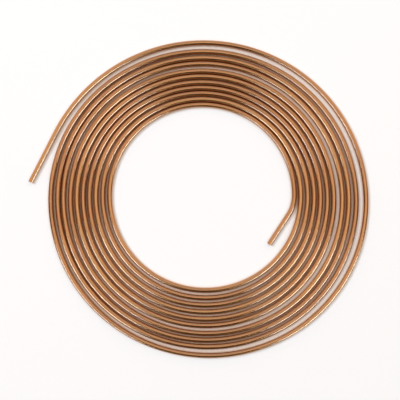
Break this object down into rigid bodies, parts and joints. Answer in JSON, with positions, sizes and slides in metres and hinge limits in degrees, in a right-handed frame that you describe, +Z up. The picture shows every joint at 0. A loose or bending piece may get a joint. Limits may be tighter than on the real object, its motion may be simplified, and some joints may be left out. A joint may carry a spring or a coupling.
{
  "type": "coil of metal tube",
  "caption": "Soft cupronickel tube wound as a loose flat spiral coil, with both free ends straight and cut square.",
  "frame": {"origin": "on the axis of the coil's eye, in the plane that the coil rests on", "axes": "+Z up along the eye's axis; +X to the right and +Y to the top of the picture, which looks straight down"},
  "size_m": [0.3131, 0.2924, 0.0048],
  "materials": {
    "cupronickel": "bright drawn"
  },
  "bodies": {
    "root": {"coiled_tube": "cupronickel"}
  },
  "joints": []
}
